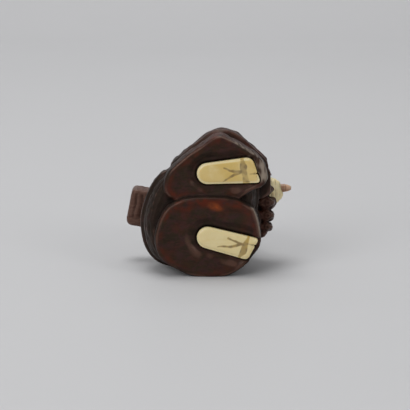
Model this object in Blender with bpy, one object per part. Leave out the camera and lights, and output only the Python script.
"""Netsuke of a hooded figure in wide trousers and a long-sleeved coat, stained wood with ivory inlays.

The figure lies on its left side, which shows the soles of its feet.
+X is the way its toes point, +Y runs from its soles to its crown, and +Z is up, from its left to its right.
The origin is the middle of the bounding box's underside, on the surface that the figure lies on.
Carving is drawn in units of which the figure's height is 37. Fits and inlays have sizes of their own.
"""

import math

import bmesh
import bpy
from mathutils import Matrix, Vector

# Driving dimensions, in metres.
FIGURE_HEIGHT = 0.037
INLAY_GAP = 0.0003
LEFT_SOLE_LENGTH = 0.0118
RIGHT_SOLE_LENGTH = 0.0122
LEFT_HEEL_WIDTH = 0.0041
LEFT_TOE_WIDTH = 0.0045
RIGHT_HEEL_WIDTH = 0.0040
RIGHT_TOE_WIDTH = 0.0050
LEFT_TOE_CORNER = 0.0009
RIGHT_TOE_CORNER = 0.0016
BIG_TOE_CORNER = 0.00045
SOLE_THICKNESS = 0.0016
SOLE_PROUD = 0.0003
SOLE_EDGE_BEVEL = 0.00035
TOE_NOTCH_WIDTH = 0.0005
TOE_NOTCH_DEPTH = 0.0008
ROD_RADIUS = 0.00085
ROD_LENGTH = 0.0056
ROD_TIP_RADIUS = 0.0005
ROD_TIP_LENGTH = 0.0012
CORD_HOLE_RADIUS = 0.0017
CORD_HOLE_SPACING = 0.0078
SASH_PACK_SIZE = (0.0076, 0.0064, 0.0078)
SASH_PACK_BEVEL = 0.0011
RESTING_FLAT = 0.0003

UNIT = FIGURE_HEIGHT / 37
MID_PLANE = 13.3
ROUND = 2 * math.pi


def remove_everything():
    for item in list(bpy.data.objects):
        bpy.data.objects.remove(item)


def material(name, colour, roughness, metallic=0.0):
    made = bpy.data.materials.new(name)
    made.use_nodes = True
    shader = made.node_tree.nodes["Principled BSDF"]
    shader.inputs["Base Color"].default_value = (*colour, 1.0)
    shader.inputs["Roughness"].default_value = roughness
    shader.inputs["Metallic"].default_value = metallic
    return made


# Outlines lie in a plane across the figure, as (x, z) pairs in units, and run once round.


def closed_curve(points, steps=12):
    """A smooth closed curve through the points, as a dense list."""
    curve = []
    count = len(points)
    for i in range(count):
        p0, p1, p2, p3 = (Vector(points[(i + k) % count]) for k in (-1, 0, 1, 2))
        for step in range(steps):
            t = step / steps
            curve.append(
                0.5
                * (
                    2 * p1
                    + (p2 - p0) * t
                    + (2 * p0 - 5 * p1 + 4 * p2 - p3) * t**2
                    + (3 * p1 - p0 - 3 * p2 + p3) * t**3
                )
            )
    return curve


def resample(curve, count):
    """The closed curve as evenly spaced points, so that rings of one loft match."""
    ends = curve[1:] + curve[:1]
    lengths = [(b - a).length for a, b in zip(curve, ends)]
    total = sum(lengths)
    found = []
    walked = 0.0
    for a, b, length in zip(curve, ends, lengths):
        while len(found) < count and walked + length >= total * len(found) / count - 1e-9:
            share = (total * len(found) / count - walked) / length
            found.append(a.lerp(b, share))
        walked += length
    return found


def outline(points, count):
    return resample(closed_curve([Vector(p) for p in points]), count)


def ellipse(centre, radii, count, square=2.0):
    """A superellipse: square is 2 for an ellipse, and more for a squarer shape."""
    ring = []
    for i in range(count):
        angle = ROUND * i / count
        c, s = math.cos(angle), math.sin(angle)
        x = math.copysign(abs(c) ** (2 / square), c)
        z = math.copysign(abs(s) ** (2 / square), s)
        ring.append(Vector((centre[0] + radii[0] * x, centre[1] + radii[1] * z)))
    return ring


def middle(ring):
    return sum(ring, Vector((0, 0))) / len(ring)


def grown(ring, factor, shift=(0, 0)):
    centre = middle(ring)
    return [centre + (p - centre) * factor + Vector(shift) for p in ring]


def mixed(ring_a, ring_b, share):
    return [a.lerp(b, share) for a, b in zip(ring_a, ring_b)]


def at_height(ring, y):
    return [Vector((p.x, y, p.y)) * UNIT for p in ring]


# Solids.


def mesh_object(name, bm, look, smooth_angle=40):
    bmesh.ops.recalc_face_normals(bm, faces=bm.faces)
    mesh = bpy.data.meshes.new(name)
    bm.to_mesh(mesh)
    bm.free()
    mesh.shade_smooth()
    mesh.set_sharp_from_angle(angle=math.radians(smooth_angle))
    made = bpy.data.objects.new(name, mesh)
    made.data.materials.append(look)
    bpy.context.scene.collection.objects.link(made)
    return made


def loft(name, rings, look):
    """A closed solid skinned over rings of equal count, with a flat cap at each end."""
    bm = bmesh.new()
    rows = [[bm.verts.new(p) for p in ring] for ring in rings]
    for near, far in zip(rows, rows[1:]):
        for i in range(len(near)):
            j = (i + 1) % len(near)
            bm.faces.new((near[i], near[j], far[j], far[i]))
    bm.faces.new(rows[0])
    bm.faces.new(rows[-1])
    return mesh_object(name, bm, look)


def across(name, levels, look):
    """A loft whose rings lie across the figure: levels holds (y in units, outline)."""
    return loft(name, [at_height(ring, y) for y, ring in levels], look)


def tube(name, path, radii, look, count=20):
    """A loft along a path of points in units, whose radius changes from point to point."""
    points = [Vector(p) for p in path]
    rings = []
    for i, point in enumerate(points):
        before, after = points[max(i - 1, 0)], points[min(i + 1, len(points) - 1)]
        along = (after - before).normalized()
        side = along.cross(Vector((0, 1, 0))).normalized()
        up = side.cross(along).normalized()
        ring = []
        for k in range(count):
            angle = ROUND * k / count
            offset = side * math.cos(angle) + up * math.sin(angle)
            ring.append((point + offset * radii[i]) * UNIT)
        rings.append(ring)
    return loft(name, rings, look)


def helper(item):
    """Marks an object as one that a Boolean reads, which isn't a piece itself."""
    item.hide_render = True
    item.display_type = "WIRE"
    return item


def boolean(target, tool, operation):
    cut = target.modifiers.new(f"{operation.lower()} {tool.name}", "BOOLEAN")
    cut.operation = operation
    cut.solver = "EXACT"
    cut.object = helper(tool)


# The trouser legs and the coat.

HEM_POINTS = 44
BODY_POINTS = 52

LEFT_HEM_Y = 0.0
RIGHT_HEM_Y = 1.6

LEFT_HEM = outline(
    [
        (-7.4, 14.6), (-4.6, 16.0), (-1.0, 16.45), (3.0, 16.4), (5.4, 16.2), (6.8, 15.75),
        (9.45, 14.4), (9.95, 13.9), (10.7, 11.6), (11.2, 8.8), (10.95, 6.2), (8.9, 3.4),
        (7.0, 1.7), (4.8, 0.5),
        (1.6, -0.1), (-2.4, 0.3), (-6.0, 1.8), (-8.5, 3.5), (-9.8, 5.6), (-10.1, 8.2),
        (-9.6, 10.6), (-8.7, 12.8),
    ],
    HEM_POINTS,
)

RIGHT_HEM = outline(
    [
        (-8.3, 18.4), (-7.9, 20.2), (-6.9, 21.8), (-3.6, 24.7), (-1.0, 26.4), (1.2, 28.0),
        (2.7, 28.7), (4.2, 28.3), (7.0, 26.8), (10.9, 24.2), (12.3, 21.8), (12.5, 19.5),
        (11.3, 18.1), (9.3, 17.4), (7.5, 16.1), (5.4, 15.0), (0.0, 14.4), (-4.8, 15.0),
        (-7.8, 16.5),
    ],
    HEM_POINTS,
)

HIPS = outline(
    [
        (-13.1, 10.6), (-12.3, 14.2), (-11.1, 17.2), (-9.2, 19.8), (-7.0, 21.0), (-3.0, 23.2),
        (2.0, 25.0), (7.0, 24.2), (10.2, 21.2), (11.0, 17.0), (10.4, 11.0), (9.0, 5.6),
        (6.2, 1.6), (1.0, 0.1), (-4.6, 0.3), (-8.4, 1.3), (-10.4, 2.4), (-11.9, 4.4), (-12.8, 7.2),
    ],
    BODY_POINTS,
)


LEG_DRIFT = 0.12


def hem_levels(ring, y):
    """The levels of a trouser leg, from its bevelled hem up into the coat, where it drifts to the middle."""
    heart = Vector((0.0, MID_PLANE))
    drift = (heart - middle(ring)) * LEG_DRIFT
    return [
        (y, grown(ring, 0.945)),
        (y + 0.35, grown(ring, 0.985)),
        (y + 0.9, ring),
        (y + 4.0, grown(ring, 1.0)),
        (y + 8.0, grown(ring, 0.975, shift=drift * 0.5)),
        (y + 12.0, grown(ring, 0.90, shift=drift)),
        (y + 14.5, grown(ring, 0.74, shift=drift)),
    ]


def trouser_seat(look):
    return across(
        "trouser_seat",
        [
            (2.6, grown(HIPS, 0.80)),
            (3.4, grown(HIPS, 0.87)),
            (5.2, grown(HIPS, 0.93)),
            (8.4, grown(HIPS, 0.955)),
            (12.0, grown(HIPS, 0.90)),
        ],
        look,
    )


def coat_skirt(look):
    return across(
        "coat_skirt",
        [
            (7.0, grown(HIPS, 0.955)),
            (7.4, grown(HIPS, 1.0)),
            (9.6, grown(HIPS, 1.0)),
            (12.4, grown(HIPS, 0.97)),
            (15.0, grown(HIPS, 0.87)),
            (17.0, grown(HIPS, 0.75)),
            (18.6, grown(HIPS, 0.68)),
        ],
        look,
    )


def torso(look):
    return across(
        "torso",
        [
            (16.0, ellipse((-0.6, MID_PLANE), (7.6, 8.2), 36)),
            (19.0, ellipse((-0.2, MID_PLANE), (7.8, 8.7), 36)),
            (22.0, ellipse((0.3, MID_PLANE), (8.0, 9.6), 36, 2.2)),
            (24.6, ellipse((0.8, MID_PLANE), (6.8, 8.8), 36)),
            (26.4, ellipse((1.0, MID_PLANE), (4.6, 6.0), 36)),
        ],
        look,
    )


def sash(look):
    """The band round the waist that the pack is tied on with."""
    return across(
        "sash",
        [
            (15.7, ellipse((-0.7, MID_PLANE), (8.4, 8.8), 36)),
            (16.1, ellipse((-0.7, MID_PLANE), (8.9, 9.3), 36)),
            (19.4, ellipse((-0.5, MID_PLANE), (8.8, 9.3), 36)),
            (19.8, ellipse((-0.5, MID_PLANE), (8.3, 8.8), 36)),
        ],
        look,
    )


# The sleeves. The left one is pressed flat from its mouth up to the shoulder, because the figure
# rests on it.

RIGHT_SLEEVE = outline(
    [
        (12.9, 17.2), (12.5, 15.0), (9.0, 14.4), (4.0, 15.2), (-1.0, 17.0), (-5.2, 19.0),
        (-6.8, 20.5), (-7.05, 21.6), (-6.7, 22.1), (-4.4, 24.0), (-1.8, 26.1), (1.1, 28.2),
        (3.2, 28.8), (6.2, 28.1), (9.4, 25.5), (12.2, 22.8), (12.8, 21.7), (12.8, 20.0),
    ],
    BODY_POINTS,
)

LEFT_SLEEVE = outline(
    [
        (11.4, 10.2), (10.6, 12.4), (8.4, 12.6), (4.0, 11.6), (-1.0, 9.8), (-5.2, 8.0),
        (-7.2, 6.4), (-7.3, 4.9), (-5.8, 2.8), (-3.4, 0.8), (0.0, -0.3), (4.0, -0.2),
        (6.6, 1.1), (8.8, 3.0), (10.3, 5.2), (11.1, 7.6),
    ],
    BODY_POINTS,
)

RIGHT_SHOULDER = ellipse((0.9, 19.6), (4.4, 3.4), BODY_POINTS)[::-1]
RIGHT_SHOULDER_TOP = grown(RIGHT_SHOULDER, 0.80)
LEFT_SHOULDER = ellipse((0.5, 5.0), (5.0, 5.4), BODY_POINTS, 2.4)
LEFT_SHOULDER_TOP = ellipse((0.9, 7.6), (3.4, 3.2), BODY_POINTS)


def sleeve(name, hanging, above, top, look):
    return across(
        name,
        [
            (8.6, grown(hanging, 0.95)),
            (9.1, hanging),
            (12.2, grown(hanging, 1.0)),
            (16.0, mixed(hanging, above, 0.20)),
            (20.0, mixed(hanging, above, 0.50)),
            (23.0, mixed(hanging, above, 0.85)),
            (24.2, mixed(above, top, 0.50)),
            (25.0, top),
        ],
        look,
    )


# Forearms inside the sleeves: points and radii from the elbow to the wrist, in units.
RIGHT_FOREARM = (
    [(3.0, 19.5, 21.2), (7.6, 18.4, 20.2), (10.6, 17.6, 18.2), (12.4, 17.2, 15.9)],
    (3.0, 2.9, 2.5, 2.0),
)
LEFT_FOREARM = (
    [(3.0, 19.5, 5.4), (8.0, 18.2, 6.6), (10.6, 17.0, 9.6), (11.6, 16.6, 12.2)],
    (3.1, 2.9, 2.4, 1.9),
)


# Gathered folds of the cuffs: (x, z, depth, width, lowest y, highest y). Each drops as it runs along +Y.
CUFF_FOLDS = [
    (12.85, 13.5, 1.50, 1.40, 10.6, 16.4),
    (12.75, 10.9, 1.45, 1.30, 10.2, 16.4),
    (12.75, 8.6, 1.20, 1.05, 10.0, 16.0),
    (11.9, 7.2, 0.85, 0.80, 10.4, 15.6),
    (12.2, 16.3, 1.25, 1.50, 10.4, 16.8),
    (11.6, 18.9, 1.25, 1.50, 9.8, 17.4),
]
CUFF_FOLD_DROP = 0.17


def cuff_fold(name, place, look):
    x, z, deep, wide, low, high = place
    shares = [(0.0, 0.45), (0.5, 0.82), (1.3, 1.0), (high - low - 1.0, 0.95), (high - low, 0.5)]
    levels = [
        (low + rise, ellipse((x - 0.6, z - CUFF_FOLD_DROP * rise), (deep * share + 0.6, wide * share), 18))
        for rise, share in shares
    ]
    return across(name, levels, look)


# The hood and the face.


def hood(look):
    profile = [
        (22.4, 8.3, 10.2, 0.8), (23.0, 8.8, 10.7, 1.0), (24.6, 8.2, 10.0, 1.1), (26.2, 6.9, 8.0, 1.2),
        (27.6, 5.7, 6.1, 1.4), (28.8, 5.3, 5.4, 1.6), (30.4, 5.6, 5.5, 1.7), (32.4, 5.7, 5.6, 1.7),
        (34.2, 5.1, 5.0, 1.5), (35.6, 3.9, 3.8, 1.0), (36.6, 2.4, 2.3, 0.4), (37.0, 0.9, 0.9, 0.2),
    ]
    return across(
        "hood",
        [(y, ellipse((x, MID_PLANE), (rx, rz), 40, 2.1)) for y, rx, rz, x in profile],
        look,
    )


FACE_CENTRE = Vector((3.7, 31.4, MID_PLANE))
FACE_RADII = Vector((3.4, 3.9, 3.3))
HOOD_OPENING_RADII = (4.35, 3.75)
HOOD_OPENING_LEVELS = ((4.2, 0.98), (6.4, 1.0), (10.2, 1.2))


def bump(distance, width):
    return math.exp(-((distance / width) ** 2))


def face_relief(up, side):
    """How far the face stands out at a height and a side, each -1 to 1: nose, brow, eyes, lips and chin."""
    away = abs(side)
    bridge = 0.30 * bump(side, 0.19) * bump(up - 0.12, 0.26)
    nose_tip = 0.40 * bump(side, 0.22) * bump(up + 0.14, 0.17)
    brow = 0.22 * bump(up - 0.42, 0.14) * bump(away - 0.34, 0.30)
    eyes = -0.34 * bump(up - 0.16, 0.13) * bump(away - 0.36, 0.19)
    lids = 0.17 * bump(up - 0.15, 0.07) * bump(away - 0.36, 0.13)
    cheeks = 0.22 * bump(up + 0.16, 0.24) * bump(away - 0.46, 0.22)
    lips = 0.26 * bump(up + 0.47, 0.10) * bump(side, 0.22)
    chin = 0.30 * bump(up + 0.80, 0.16) * bump(side, 0.30)
    return bridge + nose_tip + brow + eyes + lids + cheeks + lips + chin


def face_solid(name, look, swell, relief, rows=22, columns=27):
    """The front half of an ellipsoid with the relief, flat behind. swell widens it, in metres."""
    bm = bmesh.new()
    heart = FACE_CENTRE * UNIT
    rings = []
    for row in range(1, rows):
        tilt = math.pi * (row / rows - 0.5)
        ring = []
        for column in range(columns):
            turn = math.pi * (column / (columns - 1) - 0.5)
            way = Vector((math.cos(tilt) * math.cos(turn), math.sin(tilt), math.cos(tilt) * math.sin(turn)))
            out = Vector((way.x * FACE_RADII.x, way.y * FACE_RADII.y, way.z * FACE_RADII.z))
            if relief:
                out.x += face_relief(way.y, way.z) * max(way.x, 0.0)
            place = heart + out * UNIT + way * swell
            if column in (0, columns - 1):
                place.x = heart.x - swell
            ring.append(bm.verts.new(place))
        rings.append(ring)
    for low, high in zip(rings, rings[1:]):
        for i in range(columns - 1):
            bm.faces.new((low[i], low[i + 1], high[i + 1], high[i]))
    for ring, side in ((rings[0], -1), (rings[-1], 1)):
        pole = heart + Vector((-swell, side * (FACE_RADII.y * UNIT + swell), 0))
        tip = bm.verts.new(pole)
        for i in range(columns - 1):
            bm.faces.new((ring[i], ring[i + 1], tip))
    bmesh.ops.holes_fill(bm, edges=[e for e in bm.edges if e.is_boundary])
    return mesh_object(name, bm, look)


HOOD_RIM_X = 4.9
HOOD_RIM_RADII = (4.5, 3.95)
HOOD_RIM_THICKNESS = 0.85


def hood_rim(look):
    """The rolled edge of the hood round the face."""
    path = []
    for p in ellipse((FACE_CENTRE.y, MID_PLANE), HOOD_RIM_RADII, 22):
        path.append((HOOD_RIM_X, p.x, p.y))
    return closed_tube("hood_rim", path, HOOD_RIM_THICKNESS, look, 10)


def hood_opening(look):
    """The room in front of the face, cut along +X."""
    rings = []
    for x, share in HOOD_OPENING_LEVELS:
        radii = [radius * share for radius in HOOD_OPENING_RADII]
        ring = ellipse((FACE_CENTRE.y, MID_PLANE), radii, 32)
        rings.append([Vector((x, p.x, p.y)) * UNIT for p in ring])
    return loft("hood_opening", rings, look)


def closed_tube(name, path, radius, look, count):
    points = [Vector(p) for p in path]
    heart = sum(points, Vector()) / len(points)
    bm = bmesh.new()
    rows = []
    for point in points:
        out = (point - heart).normalized()
        front = Vector((1, 0, 0))
        row = []
        for k in range(count):
            angle = ROUND * k / count
            offset = out * math.cos(angle) + front * math.sin(angle)
            row.append(bm.verts.new((point + offset * radius) * UNIT))
        rows.append(row)
    for near, far in zip(rows, rows[1:] + rows[:1]):
        for i in range(count):
            j = (i + 1) % count
            bm.faces.new((near[i], near[j], far[j], far[i]))
    return mesh_object(name, bm, look)


# The pack on the sash.

PACK_CENTRE = Vector((-11.95, 18.13, 11.21))
PACK_TURN = math.radians(11)


def block(name, size, centre, turn, bevel, look):
    """A box with rounded edges, centred on a point in units and turned about Y."""
    bm = bmesh.new()
    bmesh.ops.create_cube(bm, size=1.0)
    bmesh.ops.scale(bm, vec=Vector(size), verts=bm.verts)
    bmesh.ops.bevel(
        bm, geom=bm.verts[:] + bm.edges[:], offset=bevel, segments=3, profile=0.5, affect="EDGES"
    )
    bmesh.ops.rotate(bm, matrix=Matrix.Rotation(turn, 3, "Y"), verts=bm.verts)
    bmesh.ops.translate(bm, vec=centre * UNIT, verts=bm.verts)
    return mesh_object(name, bm, look)


# The ivory soles, each let into its hem.


class Foot:
    """Where a sole lies and its sizes.

    heel is its rearmost point in units, and turn its angle from +X towards +Z. big_toe_way is 1 where the
    big toe is on the +Z side. corner is the radius at the little toe. notch_share places the toe notch, as a
    share of half the toe width. slant is how much shorter the little toe's side is. open_toe lengthens the
    recess, so that it cuts the hem's edge.
    """

    def __init__(self, heel, turn, hem_y, big_toe_way, length, widths, corner, notch_share, slant, open_toe):
        self.heel = Vector(heel)
        self.turn = math.radians(turn)
        self.hem_y = hem_y
        self.big_toe_way = big_toe_way
        self.length = length
        self.heel_width, self.toe_width = widths
        self.corner = corner
        self.notch_share = notch_share
        self.slant = slant
        self.open_toe = open_toe


FEET = {
    "left_foot": Foot(
        heel=(-1.45, 8.8),
        turn=-14.7,
        hem_y=LEFT_HEM_Y,
        big_toe_way=1,
        length=LEFT_SOLE_LENGTH,
        widths=(LEFT_HEEL_WIDTH, LEFT_TOE_WIDTH),
        corner=LEFT_TOE_CORNER,
        notch_share=0.39,
        slant=0.0008,
        open_toe=0.003,
    ),
    "right_foot": Foot(
        heel=(-1.5, 20.8),
        turn=4.4,
        hem_y=RIGHT_HEM_Y,
        big_toe_way=-1,
        length=RIGHT_SOLE_LENGTH,
        widths=(RIGHT_HEEL_WIDTH, RIGHT_TOE_WIDTH),
        corner=RIGHT_TOE_CORNER,
        notch_share=0.31,
        slant=0.0008,
        open_toe=0.0,
    ),
}


RECESS_MOUTH = 0.0037


def arc(centre, radius, start, end, steps):
    """Points round a centre, from one angle to another in degrees."""
    angles = [math.radians(start + (end - start) * i / steps) for i in range(steps + 1)]
    return [(centre[0] + radius * math.cos(a), centre[1] + radius * math.sin(a)) for a in angles]


def sole_outline(foot, extra, notch, longer=0.0):
    """The sole's (reach from the heel, way towards the big toe) in metres, widened by extra all round."""
    heel = foot.heel_width / 2 + extra
    toe = foot.toe_width / 2 + extra
    tip = foot.length + extra + longer
    corner = foot.corner + extra
    inner_corner = BIG_TOE_CORNER + extra
    points = arc((heel - extra, 0), heel, 90, 270, 12)
    points += arc((tip - foot.slant - corner, corner - toe), corner, -85, -20, 4)
    inner = arc((tip - inner_corner, toe - inner_corner), inner_corner, 10, 80, 2)
    if notch:
        aside = toe * foot.notch_share
        start, end = points[-1], inner[0]
        for across_notch, deep in ((-0.5, 0.0), (0.0, TOE_NOTCH_DEPTH), (0.5, 0.0)):
            place = aside + across_notch * TOE_NOTCH_WIDTH
            share = (place - start[1]) / (end[1] - start[1])
            points.append((start[0] + (end[0] - start[0]) * share - deep, place))
    return points + inner


def sole(name, foot, look, near, far, bevel):
    """The sole between two heights in metres, with its near edge bevelled."""
    levels = [(near, -bevel), (near + bevel * 0.3, -bevel * 0.3), (near + bevel, 0.0), (far, 0.0)]
    return loft(name, [sole_ring(foot, sole_outline(foot, wider, True), y) for y, wider in levels], look)


def sole_recess(name, foot, look, near, far):
    ring = sole_outline(foot, INLAY_GAP, False, longer=foot.open_toe)
    return loft(name, [sole_ring(foot, ring, y) for y in (near, far)], look)


def sole_ring(foot, ring, y):
    along = Vector((math.cos(foot.turn), math.sin(foot.turn)))
    over = Vector((-along.y, along.x)) * foot.big_toe_way
    places = [foot.heel * UNIT + along * reach + over * aside for reach, aside in ring]
    return [Vector((place.x, y, place.y)) for place in places]


# The ivory hand and the rod that it grips.

FIST_BACK = 11.8
FIST_FRONT = 16.15
FIST_AXIS = (17.0, 14.8)
FIST_RADII = (2.4, 3.05)
ROD_TIP = 17.8
ROD_AXIS = (17.0, 15.5)
ROD_BORE_REACH = 0.01
FINGERS = 4
FINGER_GROOVE = 0.045
KNUCKLES = 12.8


def fist_levels(swell):
    """Rings along +X: four fingers curl round the rod side by side, and the fist rounds off ahead."""
    rings = []
    steps = 18
    for i in range(steps + 1):
        x = FIST_BACK + (FIST_FRONT - FIST_BACK) * i / steps
        ahead = max(x - KNUCKLES, 0.0) / (FIST_FRONT - KNUCKLES + 0.15)
        reach = math.sqrt(1 - ahead**2)
        if not swell:
            reach *= 1 - FINGER_GROOVE * (1 - abs(math.cos(math.pi * FINGERS * ahead)))
        ring = ellipse(FIST_AXIS, (FIST_RADII[0] * reach, FIST_RADII[1] * reach), 24, 2.3)
        heart = Vector(FIST_AXIS)
        rings.append([(x * UNIT, (p - heart).normalized() * swell + p * UNIT) for p in ring])
    if swell:
        rings[0] = [(x - swell, p) for x, p in rings[0]]
        rings[-1] = [(x + swell, p) for x, p in rings[-1]]
    return [[Vector((x, p.x, p.y)) for x, p in ring] for ring in rings]


def rod(name, look, extra=0.0, longer=0.0):
    """The rod along +X, with a tapered tip. extra widens it, and longer carries it on past its tip."""
    front = ROD_TIP * UNIT + longer
    back = ROD_TIP * UNIT - ROD_LENGTH - extra
    tip = 0.0 if longer else ROD_RADIUS - ROD_TIP_RADIUS
    profile = [
        (back, ROD_RADIUS * 0.85 + extra),
        (back + ROD_RADIUS * 0.3, ROD_RADIUS + extra),
        (front - ROD_TIP_LENGTH, ROD_RADIUS + extra),
        (front - ROD_TIP_LENGTH * 0.25, ROD_RADIUS - tip * 0.85 + extra),
        (front, ROD_RADIUS - tip * 1.35 + extra),
    ]
    rings = []
    for x, radius in profile:
        ring = ellipse((ROD_AXIS[0] * UNIT, ROD_AXIS[1] * UNIT), (radius, radius), 16)
        rings.append([Vector((x, p.x, p.y)) for p in ring])
    return loft(name, rings, look)


# The cord holes in the back, which meet inside. The line between them is a little below the mid plane.

CORD_HOLE_MOUTH = (-15.5, 11.5)
CORD_HOLES_MEET = Vector((-8.3, 12.3, MID_PLANE - 1.3))
CORD_HOLES_Z = MID_PLANE - 1.2


def cord_hole(name, side, look):
    """One of the two holes: side is -1 for the lower one and 1 for the upper one."""
    z = CORD_HOLES_Z * UNIT + side * CORD_HOLE_SPACING / 2
    mouth = Vector((CORD_HOLE_MOUTH[0] * UNIT, CORD_HOLE_MOUTH[1] * UNIT, z))
    inside = CORD_HOLES_MEET * UNIT
    along = (inside - mouth).normalized()
    reach = inside + along * CORD_HOLE_RADIUS
    side = along.cross(Vector((0, 1, 0))).normalized()
    up = side.cross(along)
    rings = []
    for point in (mouth, reach):
        rings.append(
            [
                point
                + (side * math.cos(ROUND * k / 16) + up * math.sin(ROUND * k / 16)) * CORD_HOLE_RADIUS
                for k in range(16)
            ]
        )
    return loft(name, rings, look)


def floor_cutter(look):
    bm = bmesh.new()
    bmesh.ops.create_cube(bm, size=1.0)
    wide, deep = FIGURE_HEIGHT * 3, FIGURE_HEIGHT
    bmesh.ops.scale(bm, vec=(wide, wide, deep), verts=bm.verts)
    bmesh.ops.translate(bm, vec=(0, FIGURE_HEIGHT / 2, RESTING_FLAT - deep / 2), verts=bm.verts)
    return mesh_object("floor_cutter", bm, look)


def bring_to_origin(pieces):
    """Moves everything so that the pieces' bounding box stands on the origin."""
    corners = [v.co for piece in pieces for v in piece.data.vertices]
    low_x, high_x = min(c.x for c in corners), max(c.x for c in corners)
    low_y, high_y = min(c.y for c in corners), max(c.y for c in corners)
    shift = Matrix.Translation((-(low_x + high_x) / 2, -(low_y + high_y) / 2, -RESTING_FLAT))
    for item in bpy.data.objects:
        item.data.transform(shift)


def build():
    remove_everything()
    wood = material("stained_wood", (0.060, 0.018, 0.012), 0.38)
    ivory = material("ivory", (0.78, 0.68, 0.42), 0.35)
    coral = material("stained_ivory", (0.62, 0.24, 0.13), 0.40)

    body = across("robed_body", hem_levels(LEFT_HEM, LEFT_HEM_Y), wood)
    carved = [
        across("right_leg", hem_levels(RIGHT_HEM, RIGHT_HEM_Y), wood),
        trouser_seat(wood),
        coat_skirt(wood),
        torso(wood),
        sash(wood),
        sleeve("right_sleeve", RIGHT_SLEEVE, RIGHT_SHOULDER, RIGHT_SHOULDER_TOP, wood),
        sleeve("left_sleeve", LEFT_SLEEVE, LEFT_SHOULDER, LEFT_SHOULDER_TOP, wood),
        tube("right_forearm", *RIGHT_FOREARM, wood),
        tube("left_forearm", *LEFT_FOREARM, wood),
        hood(wood),
        hood_rim(wood),
        block("pack", SASH_PACK_SIZE, PACK_CENTRE, PACK_TURN, SASH_PACK_BEVEL, wood),
    ]
    carved += [cuff_fold(f"cuff_fold_{i}", place, wood) for i, place in enumerate(CUFF_FOLDS)]
    for form in carved:
        boolean(body, form, "UNION")

    soles = []
    for name, foot in FEET.items():
        face = foot.hem_y * UNIT
        near = face - SOLE_PROUD
        far = near + SOLE_THICKNESS
        soles.append(sole(name, foot, ivory, near, far, SOLE_EDGE_BEVEL))
        recess = sole_recess(f"{name}_recess", foot, wood, face - RECESS_MOUTH, far + INLAY_GAP)
        boolean(body, recess, "DIFFERENCE")

    face_solid("face", ivory, 0.0, relief=True)
    boolean(body, face_solid("face_recess", wood, INLAY_GAP, relief=False), "DIFFERENCE")
    boolean(body, hood_opening(wood), "DIFFERENCE")

    hand = loft("right_hand", fist_levels(0.0), ivory)
    boolean(hand, rod("rod_bore", ivory, extra=INLAY_GAP, longer=ROD_BORE_REACH), "DIFFERENCE")
    boolean(body, loft("hand_recess", fist_levels(INLAY_GAP), wood), "DIFFERENCE")
    staff = rod("rod", coral)

    for name, side in (("lower_cord_hole", -1), ("upper_cord_hole", 1)):
        boolean(body, cord_hole(name, side, wood), "DIFFERENCE")
    boolean(body, floor_cutter(wood), "DIFFERENCE")
    bring_to_origin([body, staff, *soles, *carved])


build()
